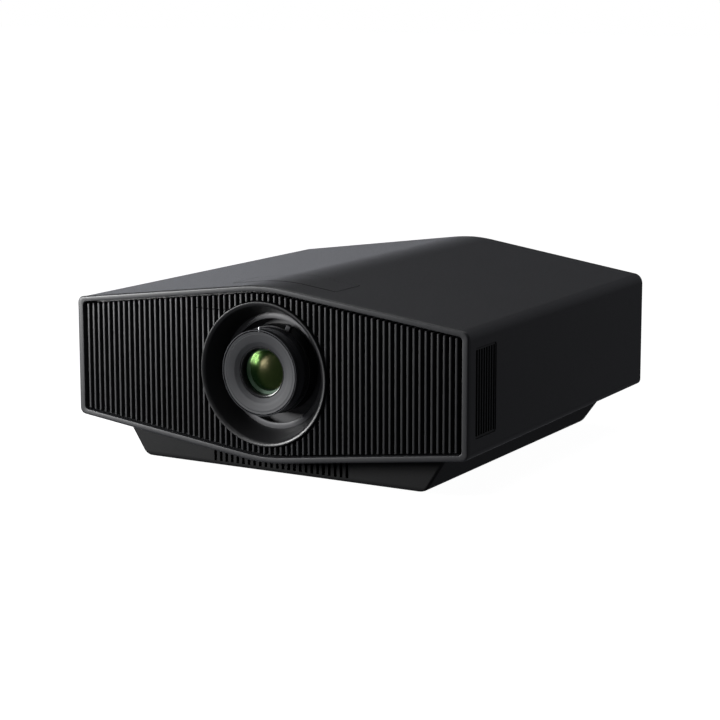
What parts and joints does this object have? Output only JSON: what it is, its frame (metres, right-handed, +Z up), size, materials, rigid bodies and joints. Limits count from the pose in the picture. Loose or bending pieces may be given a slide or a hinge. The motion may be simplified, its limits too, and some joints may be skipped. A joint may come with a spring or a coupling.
{
  "type": "home projector",
  "caption": "Home cinema projector with a six-sided finned front, a shifting zoom lens in a round recess and screw-out front feet.",
  "frame": {"origin": "middle of the footprint, on the surface that the feet stand on", "axes": "+Z up, +Y from the lens to the back, +X to the right of a person who faces the lens"},
  "size_m": [0.46, 0.47, 0.2018],
  "materials": {
    "frame_plastic": "satin charcoal black",
    "grille_plastic": "satin charcoal black",
    "smoked_window": "smoked, glossy",
    "shroud_gloss": "glossy black",
    "cover_plastic": "fine satin charcoal black paint",
    "rear_plastic": "fine matte texture",
    "base_plastic": "fine matte texture",
    "vent_plastic": "fine matte texture",
    "inner_plastic": "matte black",
    "socket_plastic": "matte black",
    "socket_metal": "nickel plated",
    "key_plastic": "satin grey black",
    "dial_rubber": "ribbed rubber",
    "foot_rubber": "matte rubber",
    "lens_metal": "black anodised",
    "lens_face": "dark grey anodised, finely turned",
    "bright_pin": "polished",
    "coated_glass": "green anti-reflection coating",
    "skirt_plastic": "matte grey black",
    "steel": "zinc plated sheet",
    "cast_alloy": "as cast",
    "heat_sink_alloy": "extruded",
    "circuit_board": "solder mask",
    "fan_plastic": "moulded black",
    "filter_foam": "pleated filter medium"
  },
  "bodies": {
    "housing": {"front_frame": "frame_plastic", "front_grille": "grille_plastic", "ir_window": "smoked_window", "lens_shroud": "shroud_gloss", "top_cover": "cover_plastic", "bottom_cover": "cover_plastic", "adjuster_bay": "inner_plastic", "rear_panel": "rear_plastic", "base_plinth": "base_plastic", "rear_foot_left": "foot_rubber", "rear_foot_right": "foot_rubber", "side_vent_right": "vent_plastic", "side_vent_left": "vent_plastic", "terminal_panel": "inner_plastic", "power_inlet": "socket_plastic", "hdmi_socket_1": "socket_metal", "hdmi_socket_2": "socket_metal", "lan_socket": "socket_metal", "usb_socket": "socket_metal", "serial_socket": "socket_metal", "key_panel": "shroud_gloss", "lens_mount_plate": "cast_alloy", "chassis_plate": "steel", "light_engine": "cast_alloy", "laser_module": "cast_alloy", "heat_sink": "heat_sink_alloy", "main_board": "circuit_board", "power_board": "circuit_board", "fan_frame_left": "fan_plastic", "fan_frame_right": "fan_plastic", "blower_housing": "fan_plastic", "air_filter": "filter_foam"},
    "flap": {"top_flap": "cover_plastic"},
    "v_carriage": {"v_shift_plate": "steel"},
    "h_carriage": {"h_shift_plate": "steel", "lens_tube": "lens_metal", "lens_face_ring": "lens_face", "lens_retainer": "lens_metal", "front_glass": "coated_glass", "lens_skirt": "skirt_plastic"},
    "focus": {"focus_ring": "lens_metal", "focus_pin": "bright_pin"},
    "zoom": {"zoom_ring": "lens_metal"},
    "v_dial": {"v_shift_dial": "dial_rubber"},
    "h_dial": {"h_shift_dial": "dial_rubber"},
    "foot_stem_left": {"front_foot_stem_left": "steel"},
    "foot_pad_left": {"front_foot_pad_left": "foot_rubber"},
    "foot_stem_right": {"front_foot_stem_right": "steel"},
    "foot_pad_right": {"front_foot_pad_right": "foot_rubber"},
    "fan_left": {"fan_rotor_left": "fan_plastic"},
    "fan_right": {"fan_rotor_right": "fan_plastic"},
    "blower": {"blower_wheel": "fan_plastic"},
    "button_up": {"key_up": "key_plastic"},
    "button_down": {"key_down": "key_plastic"},
    "button_left": {"key_left": "key_plastic"},
    "button_right": {"key_right": "key_plastic"},
    "button_enter": {"key_enter": "key_plastic"},
    "button_menu": {"key_menu": "key_plastic"},
    "button_input": {"key_input": "key_plastic"},
    "button_power": {"key_power": "key_plastic"}
  },
  "joints": [
    {"name": "flap_hinge", "type": "hinge", "parent": "housing", "child": "flap", "pos_m": [0, -0.1396, 0.2022], "axis": [-1, 0, 0], "range_deg": [0, 100]},
    {"name": "v_shift", "type": "slide", "parent": "housing", "child": "v_carriage", "axis": [0, 0, 1], "range_m": [-0.0074, 0.0026]},
    {"name": "h_shift", "type": "slide", "parent": "v_carriage", "child": "h_carriage", "axis": [1, 0, 0], "range_m": [-0.0034, 0.0034]},
    {"name": "focus_turn", "type": "hinge", "parent": "h_carriage", "child": "focus", "pos_m": [0, -0.22, 0.1149], "axis": [0, 1, 0], "range_deg": [-60, 60]},
    {"name": "zoom_turn", "type": "hinge", "parent": "h_carriage", "child": "zoom", "pos_m": [0, -0.204, 0.1149], "axis": [0, 1, 0], "range_deg": [-40, 30]},
    {"name": "v_dial_turn", "type": "hinge", "parent": "housing", "child": "v_dial", "pos_m": [-0.025, -0.165, 0.181], "axis": [1, 0, 0], "range_deg": [-270, 95]},
    {"name": "h_dial_turn", "type": "hinge", "parent": "housing", "child": "h_dial", "pos_m": [0.025, -0.165, 0.181], "axis": [0, 1, 0], "range_deg": [-125, 125]},
    {"name": "foot_left_travel", "type": "slide", "parent": "housing", "child": "foot_stem_left", "axis": [0, 0, -1], "range_m": [0, 0.012]},
    {"name": "foot_left_turn", "type": "hinge", "parent": "foot_stem_left", "child": "foot_pad_left", "pos_m": [-0.132, -0.15, 0.002], "axis": [0, 0, 1], "range_deg": [0, 1445]},
    {"name": "foot_right_travel", "type": "slide", "parent": "housing", "child": "foot_stem_right", "axis": [0, 0, -1], "range_m": [0, 0.012]},
    {"name": "foot_right_turn", "type": "hinge", "parent": "foot_stem_right", "child": "foot_pad_right", "pos_m": [0.132, -0.15, 0.002], "axis": [0, 0, 1], "range_deg": [0, 1445]},
    {"name": "press_up", "type": "slide", "parent": "housing", "child": "button_up", "axis": [1, 0, 0], "range_m": [0, 0.001], "stiffness_N_per_m": 300, "springref_m": -0.001},
    {"name": "press_down", "type": "slide", "parent": "housing", "child": "button_down", "axis": [1, 0, 0], "range_m": [0, 0.001], "stiffness_N_per_m": 300, "springref_m": -0.001},
    {"name": "press_left", "type": "slide", "parent": "housing", "child": "button_left", "axis": [1, 0, 0], "range_m": [0, 0.001], "stiffness_N_per_m": 300, "springref_m": -0.001},
    {"name": "press_right", "type": "slide", "parent": "housing", "child": "button_right", "axis": [1, 0, 0], "range_m": [0, 0.001], "stiffness_N_per_m": 300, "springref_m": -0.001},
    {"name": "press_enter", "type": "slide", "parent": "housing", "child": "button_enter", "axis": [1, 0, 0], "range_m": [0, 0.001], "stiffness_N_per_m": 300, "springref_m": -0.001},
    {"name": "press_menu", "type": "slide", "parent": "housing", "child": "button_menu", "axis": [1, 0, 0], "range_m": [0, 0.001], "stiffness_N_per_m": 300, "springref_m": -0.001},
    {"name": "press_input", "type": "slide", "parent": "housing", "child": "button_input", "axis": [1, 0, 0], "range_m": [0, 0.001], "stiffness_N_per_m": 300, "springref_m": -0.001},
    {"name": "press_power", "type": "slide", "parent": "housing", "child": "button_power", "axis": [1, 0, 0], "range_m": [0, 0.001], "stiffness_N_per_m": 300, "springref_m": -0.001},
    {"name": "fan_left_spin", "type": "hinge", "parent": "housing", "child": "fan_left", "pos_m": [-0.11, 0.178, 0.112], "axis": [0, 1, 0], "continuous": true},
    {"name": "fan_right_spin", "type": "hinge", "parent": "housing", "child": "fan_right", "pos_m": [0.11, 0.178, 0.112], "axis": [0, 1, 0], "continuous": true},
    {"name": "blower_spin", "type": "hinge", "parent": "housing", "child": "blower", "pos_m": [0.166, -0.172, 0.108], "axis": [1, 0, 0], "continuous": true}
  ],
  "couplings": [
    {"joint": "v_dial_turn", "follows": "v_shift", "rad_per_m": 628.32},
    {"joint": "h_dial_turn", "follows": "h_shift", "rad_per_m": 628.32},
    {"joint": "foot_left_turn", "follows": "foot_left_travel", "rad_per_m": 2094.4},
    {"joint": "foot_right_turn", "follows": "foot_right_travel", "rad_per_m": 2094.4}
  ]
}
